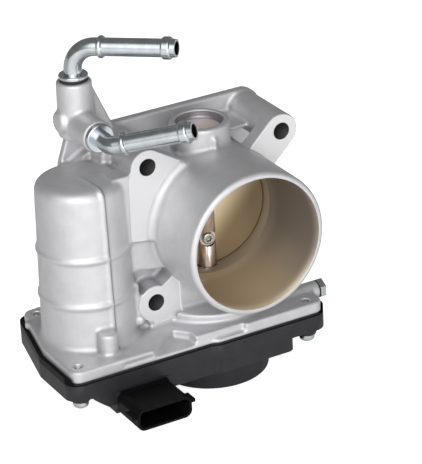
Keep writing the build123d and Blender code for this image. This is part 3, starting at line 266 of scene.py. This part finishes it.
def plain_finishes():
    """The finishes of the small parts, by the slot names of the record."""
    return [
        tinted("dark_steel", (0.15, 0.125, 0.12), (0.10, 0.085, 0.08), 1.0, 0.16, 4, 0.003),
        tinted("bright_steel", (0.62, 0.62, 0.63), (0.55, 0.55, 0.56), 1.0, 0.2, 3, 0.003),
        tinted("black_rubber", (0.02, 0.02, 0.021), (0.012, 0.012, 0.013), 0.0, 0.6, 1, 0.02),
        tinted("gear_plastic", (0.72, 0.68, 0.58), (0.66, 0.61, 0.50), 0.0, 0.45, 6, 0.01),
        tinted("spring_steel", (0.35, 0.34, 0.33), (0.26, 0.25, 0.25), 1.0, 0.3, 3, 0.005),
        tinted("black_plastic", (0.03, 0.03, 0.032), (0.022, 0.022, 0.024), 0.0, 0.5, 2, 0.02),
        tinted("sintered_bronze", (0.48, 0.36, 0.20), (0.38, 0.28, 0.16), 0.9, 0.45, 0.5, 0.02, 0.2),
        tinted("ferrite", (0.06, 0.06, 0.065), (0.045, 0.045, 0.05), 0.2, 0.55, 1, 0.02, 0.3),
        tinted("lamination_steel", (0.34, 0.34, 0.36), (0.22, 0.22, 0.24), 0.9, 0.4, 0.6, 0.02),
        tinted("copper_wire", (0.72, 0.36, 0.18), (0.58, 0.26, 0.12), 1.0, 0.3, 1, 0.01),
        tinted("carbon", (0.03, 0.03, 0.03), (0.02, 0.02, 0.02), 0.1, 0.7, 0.4, 0.03, 0.2),
        tinted("tinned_copper", (0.76, 0.74, 0.70), (0.68, 0.65, 0.60), 1.0, 0.25, 1, 0.003),
        tinted("board_green", (0.03, 0.18, 0.07), (0.02, 0.13, 0.05), 0.0, 0.4, 3, 0.01),
    ]


def zinc_steel():
    """Zinc-plated fasteners, with painted shade making them dark down in their recesses."""
    finish = tinted("zinc_steel", (0.66, 0.69, 0.69), (0.50, 0.55, 0.56), 1.0, 0.26, 2, 0.006)
    plate = finish.colour()
    # painted shade: near black in recesses, from ambient occlusion
    finish.set("Base Color", finish.mix(finish.painted_shade_mask(1.4), (0.02, 0.022, 0.022), plate))
    return finish.material


def plated_tube():
    """Bluish zinc plate, with painted shade making it black inside the tube."""
    finish = tinted("plated_tube", (0.62, 0.66, 0.68), (0.54, 0.585, 0.61), 1.0, 0.2, 5, 0.003)
    plate = finish.colour()
    # painted shade: black inside the tube, from ambient occlusion
    inside = finish.add("ShaderNodeAmbientOcclusion", samples=8, only_local=True)
    finish.put(inside.inputs["Distance"], 9.0 * MM)
    open_air = finish.fit(inside.outputs["AO"], 0.2, 0.45)
    finish.set("Base Color", finish.mix(open_air, (0.005, 0.005, 0.006), plate))
    return finish.material


def charcoal_plastic():
    """Satin charcoal moulding, black and less shiny on its rim and on the plug shell."""
    finish = tinted("charcoal_plastic", (0.019, 0.019, 0.022), (0.015, 0.015, 0.018),
                    0.0, 0.45, 5, 0.02, 0.5)
    body = finish.colour()
    shell = finish.fit(finish.axis("Y"), SHELL_Y, SHELL_Y - 0.4)
    rim = finish.fit(finish.axis("Z"), COVER_RIM_Z, COVER_RIM_Z + 0.6)
    black = finish.maths("MAXIMUM", shell, rim)
    finish.set("Base Color", finish.mix(black, body, (0.004, 0.004, 0.0045)))
    finish.set("Roughness", finish.fit(black, 0, 1, 0.45, 0.4))
    finish.set("Specular IOR Level", finish.fit(black, 0, 1, 0.4, 0.08))
    return finish.material


def pressed_cap():
    """Pressed steel cup with painted reflection and shade: a pale pinkish floor and a darker drawn wall."""
    finish = tinted("pressed_cap", (0.92, 0.80, 0.75), (0.86, 0.72, 0.67), 0.4, 0.4, 8, 0.002)
    floor = finish.colour()
    out = finish.far(finish.axis("X"), finish.toward(radians(90), 0, SHAFT_Y))
    # painted reflection and shade: pale pinkish floor as reflected warm light, dark grey drawn wall as shade
    wall = finish.fit(out, CAP_FLOOR_R, CAP_FLOOR_R + 0.8)
    finish.set("Base Color", finish.mix(wall, floor, (0.34, 0.33, 0.36)))
    finish.set("Metallic", finish.fit(wall, 0, 1, 0.5, 0.9))
    return finish.material


def shaft_steel():
    """Bright ground shaft, paler and duller on the spot faces under the plate screws."""
    finish = tinted("shaft_steel", (0.62, 0.56, 0.54), (0.54, 0.48, 0.46), 1.0, 0.1, 4, 0.003)
    body = finish.colour()
    height = finish.maths("SUBTRACT", finish.maths("ABSOLUTE", finish.axis("Z")), PLATE_SCREW_Z)
    bare = finish.fit(finish.far(finish.axis("X"), height), SPOT_FACE_R + 0.2, SPOT_FACE_R)
    deep = finish.fit(finish.axis("Y"), SHAFT_Y - 3.6, SHAFT_Y - 3.4)
    bare = finish.maths("MULTIPLY", bare, deep)
    finish.set("Base Color", finish.mix(bare, body, (0.86, 0.80, 0.76)))
    finish.set("Roughness", finish.fit(bare, 0, 1, 0.1, 0.4))
    return finish.material


def gold_plate():
    """Satin brass-coloured plate, with a painted reflection of the dark bore making it browner towards the
    lower right, and a painted shadow dark round its very edge.
    """
    finish = tinted("gold_plate", (0.95, 0.80, 0.53), (0.91, 0.76, 0.50), 0.5, 0.34, 12, 0.004)
    body = finish.colour()
    across, up = finish.axis("X"), finish.axis("Z")
    # painted reflection: browner towards the lower right
    slant = finish.maths("SUBTRACT", finish.maths("MULTIPLY", across, 0.9), finish.maths("MULTIPLY", up, 0.7))
    colour = finish.mix(finish.fit(slant, 0, 22), body, (0.24, 0.18, 0.105))
    # painted shadow: dark round the plate's very edge, in the gap to the throat
    colour = finish.mix(finish.fit(finish.far(across, up), PLATE_GAP_SHADOW_R, PLATE_GAP_SHADOW_R + 0.3), colour,
                        (0.05, 0.035, 0.02))
    finish.set("Base Color", colour)
    return finish.material


# ---------------------------------------------------------------- mesh helpers

WELD_REACH = 0.002
FINE_SIDES = 96


def new_piece(name, mesh):
    piece = bpy.data.objects.new(name, mesh)
    bpy.context.scene.collection.objects.link(piece)
    return piece


def piece_from(name, build):
    """A new object whose mesh is filled in by build(bm)."""
    mesh = bpy.data.meshes.new(name)
    bm = bmesh.new()
    build(bm)
    bm.to_mesh(mesh)
    bm.free()
    return new_piece(name, mesh)


def apply_steps(piece, *steps):
    """Replaces a piece's mesh by what a stack of modifiers makes of it."""
    for kind, settings in steps:
        modifier = piece.modifiers.new(kind.lower(), kind)
        for key, value in settings.items():
            setattr(modifier, key, value)
    graph = bpy.context.evaluated_depsgraph_get()
    made = bpy.data.meshes.new_from_object(piece.evaluated_get(graph))
    piece.modifiers.clear()
    old = piece.data
    piece.data = made
    bpy.data.meshes.remove(old)
    return piece


def add_rod(bm, axis, radius, start, end, u, v, sides=48):
    """Adds a closed cylinder along an axis, in mm. u and v are its place on the other two axes."""
    order = {"x": (1, 2, 0), "y": (0, 2, 1), "z": (0, 1, 2)}[axis]
    turn = {"x": Matrix.Rotation(radians(90), 4, "Y"), "y": Matrix.Rotation(radians(-90), 4, "X"),
            "z": Matrix.Identity(4)}[axis]
    centre = [0.0, 0.0, 0.0]
    for index, value in zip(order, (u, v, (start + end) / 2)):
        centre[index] = value * MM
    bmesh.ops.create_cone(bm, cap_ends=True, segments=sides, radius1=radius * MM, radius2=radius * MM,
                          depth=abs(end - start) * MM, matrix=Matrix.Translation(centre) @ turn)


def welded_copy(name, node):
    """A copy of a CAD node's mesh with its faces joined into one closed skin."""
    def build(bm):
        bm.from_mesh(nodes[node].data)
        bmesh.ops.remove_doubles(bm, verts=bm.verts, dist=WELD_REACH * MM)
    return piece_from(name, build)


# ---------------------------------------------------------------- the casting's surface

BOLT_X = 35.5
BOLT_Z = 34.5
EAR_FACE_Y = -40.6
MOUTH_Y = -77.0
THROAT_Y = -36.0
PLATE_SCREW_Z = 15.3
SHAFT_Y = -26.0
MOTOR_X = -63.75
CAN_TOP_Z = 32.0
SEAM_ANGLE = -86.0
PLATE_BASE_Z = -52.7
PLATE_TOP_Z = -46.7
BOSS_TOP_Z = 44.5
COOLANT_X = -53.5
COOLANT_Y = -7.0
COOLANT_TOP_Z = 71.0
SIDE_SEAT_Y = -29.0
SIDE_SEAT_Z = 50.0
STOP_END_X = 47.5
STOP_Y = -47.0
STOP_Z = -48.6
COVER_SCREWS = ((-76.9, 4.6), (-84.8, -54.8), (35.0, -57.6), (36.8, -3.0), (-60.0, -1.4))

VOXEL = 0.45
CORNER_FILL = 0.8
EDGE_ROUND = 0.4
PUSH = 2.0
EAR_R = 8.6
FACE_CLEAR = 0.8
FACE_CUT = 0.25
FACE_CUTTER_DEPTH = 1.5
FACE_VOXEL = 0.3
FACE_SPAN = (EAR_FACE_Y - FACE_CUTTER_DEPTH, EAR_FACE_Y + FACE_CUT)
GUARD_SPAN = (-60, -30)
SNOUT_CLEAR_R = 35.2
ROOT_CLEAR_R = 38.4
LOW_FACE_X = 22.6


def bore_plug(bm):
    add_rod(bm, "y", 33.3, MOUTH_Y, 0, 0, 0, FINE_SIDES)


def bolt_plugs(bm):
    for x in (-BOLT_X, BOLT_X):
        for z in (-BOLT_Z, BOLT_Z):
            add_rod(bm, "y", 5.4, EAR_FACE_Y, 0, x, z)


def seat_plugs(bm):
    """Rods that fill the machined seats and screw holes, level with the faces that they open on."""
    for x, y in COVER_SCREWS:
        add_rod(bm, "z", 3.3, PLATE_BASE_Z, PLATE_TOP_Z, x, y)
    add_rod(bm, "z", 18.9, PLATE_BASE_Z, 28.9, MOTOR_X, SHAFT_Y)
    add_rod(bm, "z", 12.7, 30.9, BOSS_TOP_Z, 0, SHAFT_Y)
    add_rod(bm, "z", 12.6, PLATE_BASE_Z, -33, 0, SHAFT_Y)
    add_rod(bm, "z", 5.9, 28, -40, 0, SHAFT_Y)
    add_rod(bm, "z", 6.2, SIDE_SEAT_Z - 2, COOLANT_TOP_Z, COOLANT_X, COOLANT_Y)
    add_rod(bm, "y", 6.2, SIDE_SEAT_Y, COOLANT_Y, COOLANT_X, SIDE_SEAT_Z)
    add_rod(bm, "x", 3.4, 15, STOP_END_X, STOP_Y, STOP_Z)


def push_out(bm):
    """Moves each hole cutter's flat end, where it lies level with the face it opens on, outwards."""
    ends = (("y", EAR_FACE_Y, -1), ("y", 0, 1), ("y", MOUTH_Y, -1), ("z", PLATE_BASE_Z, -1),
            ("z", PLATE_TOP_Z, 1), ("z", BOSS_TOP_Z, 1), ("z", COOLANT_TOP_Z, 1),
            ("y", SIDE_SEAT_Y, -1), ("x", STOP_END_X, 1))
    for axis, place, way in ends:
        index = "xyz".index(axis)
        flat = {v for f in bm.faces if f.normal[index] * way > 0.99
                and abs(f.calc_center_median()[index] - place * MM) < 0.01 * MM for v in f.verts}
        for v in flat:
            v.co[index] += way * PUSH * MM


def hollow_cutter(name, plugs, material):
    """The hollows of the CAD casting that lie inside the plugs, as one solid that cuts them."""
    cutter = piece_from(name, plugs)
    casting = welded_copy("casting_tool", "throttle_body_casting")
    apply_steps(cutter, ("BOOLEAN", dict(object=casting, operation="DIFFERENCE", solver="MANIFOLD")))
    bpy.data.objects.remove(casting)
    bm = bmesh.new()
    bm.from_mesh(cutter.data)
    push_out(bm)
    bm.to_mesh(cutter.data)
    bm.free()
    cutter.data.materials.clear()
    cutter.data.materials.append(material)
    return cutter


def upper_left_face(bm):
    """Shallow slab over the upper left ear's front face, as wide as a milling cutter would clear."""
    outline = [(-46.4, 2), (-46.0, -0.3), (-34.5, -1.9), (-10, 10), (-10, 32), (-28.5, 43), (-43.5, 38),
               (-46.0, 30)]
    add_slab(bm, outline, *FACE_SPAN)
    add_rod(bm, "y", EAR_R + FACE_CLEAR, *FACE_SPAN, -BOLT_X, BOLT_Z)


def other_ear_faces(bm):
    """The same over the other three ears."""
    slant = (EAR_R + FACE_CLEAR) / (BOLT_X ** 2 + BOLT_Z ** 2) ** 0.5
    side = (slant * BOLT_Z, slant * BOLT_X)
    lower = [(LOW_FACE_X, -20), (32, -25), (40, -34.5), (37.5, -45.2), (LOW_FACE_X, -45.2)]
    outlines = (
        [(BOLT_X - side[0], BOLT_Z + side[1]), (12 - side[0], 12 + side[1]),
         (12 + side[0], 12 - side[1]), (BOLT_X + side[0], BOLT_Z - side[1])],
        lower, [(-x, z) for x, z in lower])
    for outline in outlines:
        add_slab(bm, outline, *FACE_SPAN)
    for x, z in ((BOLT_X, BOLT_Z), (BOLT_X, -BOLT_Z), (-BOLT_X, -BOLT_Z)):
        add_rod(bm, "y", EAR_R + FACE_CLEAR, *FACE_SPAN, x, z)


def add_slab(bm, outline, start, end):
    """Adds a plate across the bore axis from an outline of (x, z) points, in mm."""
    near = [bm.verts.new((x * MM, start * MM, z * MM)) for x, z in outline]
    far = [bm.verts.new((x * MM, end * MM, z * MM)) for x, z in outline]
    count = len(outline)
    faces = [bm.faces.new(near), bm.faces.new(list(reversed(far)))]
    for i in range(count):
        after = (i + 1) % count
        faces.append(bm.faces.new((near[i], far[i], far[after], near[after])))
    bmesh.ops.recalc_face_normals(bm, faces=faces)


def mill_ear_faces(casting):
    """Cuts the ears' front faces flat, up to a circle round the snout."""
    for faces, clear_r in ((upper_left_face, ROOT_CLEAR_R), (other_ear_faces, SNOUT_CLEAR_R)):
        snout = piece_from("snout_guard", lambda bm: add_rod(bm, "y", clear_r, *GUARD_SPAN, 0, 0, FINE_SIDES))
        cutter = piece_from("face_cutter", faces)
        apply_steps(cutter, voxels(FACE_VOXEL))
        apply_steps(cutter, ("BOOLEAN", dict(object=snout, operation="DIFFERENCE", solver="MANIFOLD")))
        cutter.data.materials.clear()
        cutter.data.materials.append(finishes["machined_alloy"])
        apply_steps(casting, ("BOOLEAN", dict(object=cutter, operation="DIFFERENCE", solver="MANIFOLD",
                                              material_mode="TRANSFER")))
        bpy.data.objects.remove(cutter)
        bpy.data.objects.remove(snout)


def join_into(piece, *others):
    """Adds the meshes of other pieces to a piece, overlapping as they lie."""
    bm = bmesh.new()
    bm.from_mesh(piece.data)
    for other in others:
        bm.from_mesh(other.data)
        bpy.data.objects.remove(other)
    bm.to_mesh(piece.data)
    bm.free()


def voxels(size=VOXEL):
    return ("REMESH", dict(mode="VOXEL", voxel_size=size * MM, use_smooth_shade=True))


def swell(distance):
    return ("DISPLACE", dict(strength=distance * MM, mid_level=0.0, direction="NORMAL"))


def casting_surface():
    """The casting with filled corners and rounded edges, then its machined holes cut crisp."""
    casting = welded_copy("casting_surface", "throttle_body_casting")
    cuts = ((bolt_plugs, "drilled_alloy"), (seat_plugs, "machined_alloy"), (bore_plug, "bore_coating"))
    join_into(casting, *[piece_from("plugs", plugs) for plugs, _ in cuts])
    apply_steps(casting, voxels(), swell(CORNER_FILL), voxels(), swell(-CORNER_FILL - EDGE_ROUND),
                voxels(), swell(EDGE_ROUND), voxels(), ("SMOOTH", dict(factor=0.5, iterations=3)))
    casting.data.materials.clear()
    casting.data.materials.append(finishes["cast_alloy"])
    mill_ear_faces(casting)
    for plugs, finish in cuts:
        cutter = hollow_cutter("hole_cutter", plugs, finishes[finish])
        apply_steps(casting, ("BOOLEAN", dict(object=cutter, operation="DIFFERENCE", solver="MANIFOLD",
                                              material_mode="TRANSFER")))
        bpy.data.objects.remove(cutter)
    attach(casting, "housing")
    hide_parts("throttle_body_casting")


SOFT_EDGES = {
    "gear_cover": 0.5, "throttle_shaft": 0.15, "throttle_plate": 0.1,
    "cover_screws": 0.15, "plate_screws": 0.12, "stop_screw": 0.15, "stop_locknut": 0.25, "shaft_nut": 0.25,
    "sector_gear": 0.15, "intermediate_gear": 0.12, "motor_case": 0.2, "motor_end_cap": 0.3,
    "connector_pins": 0.15, "motor_terminals": 0.12, "sector_insert": 0.2,
}


def soften_edges():
    """Small bevels on the sharp edges of the CAD nodes that keep their own shape."""
    for name, width in SOFT_EDGES.items():
        node = nodes[name]
        for kind, settings in (
                ("WELD", dict(merge_threshold=WELD_REACH * MM)),
                ("DECIMATE", dict(decimate_type="DISSOLVE", angle_limit=radians(0.5))),
                ("BEVEL", dict(width=width * MM, segments=2, limit_method="ANGLE", angle_limit=radians(40),
                               harden_normals=True, miter_outer="MITER_ARC"))):
            modifier = node.modifiers.new(kind.lower(), kind)
            for key, value in settings.items():
                setattr(modifier, key, value)


# ---------------------------------------------------------------- studio

SOFTBOX_AZIMUTH = radians(-34)
SOFTBOX_HEIGHT = radians(30)
SOFTBOX_LIGHT = 2.0
SOFTBOX_EDGE = (0.64, 0.93)
ROOM_LIGHT = 0.19
BACKDROP = 1.0
FLOOR_GLOW_AHEAD = 0.6
FLOOR_GLOW_BEHIND = 0.06
FLOOR_SEEN = 0.85
FLOOR_SIZE = 6
FLOOR_GAP = 0.5
GLOW_REACH = 300
VIEW_AZIMUTH = radians(-28.23)
VIEW_ELEVATION = radians(25.26)
VIEW_ROLL = radians(-3.1)
CAMERA_PLACE = (-0.5261, -1.0155, 0.5166)
CAMERA_LENS = 203.3
CAMERA_SHIFT = (-0.0079, -0.0064)


def studio():
    """Pale glowing floor, pale backdrop, and broad soft light from the camera's side."""
    low, high = cad_box
    centre = (low + high) / 2
    floor = piece_from("floor", lambda bm: bmesh.ops.create_grid(
        bm, x_segments=1, y_segments=1, size=FLOOR_SIZE))
    floor.location = (0, 0, low.z - FLOOR_GAP * MM)
    paper = Finish("floor_paper", (0.86, 0.86, 0.86), 0, 0.9)
    paper.set("Emission Color", (1, 1, 1, 1))
    seen = paper.add("ShaderNodeLightPath").outputs["Is Camera Ray"]
    ahead = paper.toward(VIEW_AZIMUTH / 3 - radians(90), 0, 0)
    glow = paper.fit(ahead, 0, GLOW_REACH, FLOOR_GLOW_BEHIND, FLOOR_GLOW_AHEAD)
    paper.set("Emission Strength", paper.fit(seen, 0, 1, glow, FLOOR_SEEN))
    floor.data.materials.append(paper.material)
    room_light()
    lamp("high_lamp", (-0.75, -1.1, 0.6), centre, 0.8, 3)
    lamp("low_lamp", (0.0, -1.3, -0.1), centre, 0.5, 4)


def room_light():
    """World light: one broad softbox, a dim room round it, and plain pale to the camera."""
    world = bpy.data.worlds.new("studio")
    bpy.context.scene.world = world
    tree = NodeTree(world)
    background = tree.nodes["Background"]
    tree.put(background.inputs["Color"], (1, 1, 1, 1))
    facing = tree.add("ShaderNodeVectorMath", operation="DOT_PRODUCT")
    tree.put(facing.inputs[0], tree.add("ShaderNodeTexCoord").outputs["Generated"])
    flat = cos(SOFTBOX_HEIGHT)
    tree.put(facing.inputs[1], (flat * sin(SOFTBOX_AZIMUTH), -flat * cos(SOFTBOX_AZIMUTH),
                                sin(SOFTBOX_HEIGHT)))
    level = tree.fit(facing.outputs["Value"], *SOFTBOX_EDGE, ROOM_LIGHT, SOFTBOX_LIGHT)
    seen = tree.add("ShaderNodeLightPath").outputs["Is Camera Ray"]
    tree.put(background.inputs["Strength"], tree.fit(seen, 0, 1, level, BACKDROP))


def lamp(name, place, target, size, power):
    """A square lamp turned towards a target; lengths in metres, power in watts."""
    data = bpy.data.lights.new(name, "AREA")
    data.size = size
    data.energy = power
    item = bpy.data.objects.new(name, data)
    item.location = place
    item.rotation_mode = "QUATERNION"
    item.rotation_quaternion = (Vector(target) - Vector(place)).to_track_quat("-Z", "Y")
    bpy.context.scene.collection.objects.link(item)


def camera():
    """Three-quarter view from the inlet side, a little above."""
    azimuth, elevation, roll = VIEW_AZIMUTH, VIEW_ELEVATION, VIEW_ROLL
    back = Vector((sin(azimuth) * cos(elevation), -cos(azimuth) * cos(elevation), sin(elevation)))
    right = Vector((cos(azimuth), sin(azimuth), 0))
    up = back.cross(right)
    side = right * cos(roll) + up * sin(roll)
    top = up * cos(roll) - right * sin(roll)
    data = bpy.data.cameras.new("camera")
    data.lens = CAMERA_LENS
    data.shift_x, data.shift_y = CAMERA_SHIFT
    item = bpy.data.objects.new("camera", data)
    item.matrix_world = Matrix((side, top, back)).transposed().to_4x4()
    item.location = CAMERA_PLACE
    bpy.context.scene.collection.objects.link(item)
    bpy.context.scene.camera = item


# ---------------------------------------------------------------- the scene

finishes = {finish.material.name: finish.material for finish in plain_finishes()}
for build in (cast_alloy, machined_alloy, drilled_alloy, bore_coating, zinc_steel, plated_tube,
              charcoal_plastic, pressed_cap, shaft_steel, gold_plate):
    finishes[build.__name__] = build()
for name, node in nodes.items():
    for index, material in enumerate(node.data.materials):
        base = material.name.split(".")[0]
        node.data.materials[index] = finishes.get(base, material)

soften_edges()
casting_surface()
studio()
camera()
bpy.context.scene.view_settings.view_transform = "Standard"
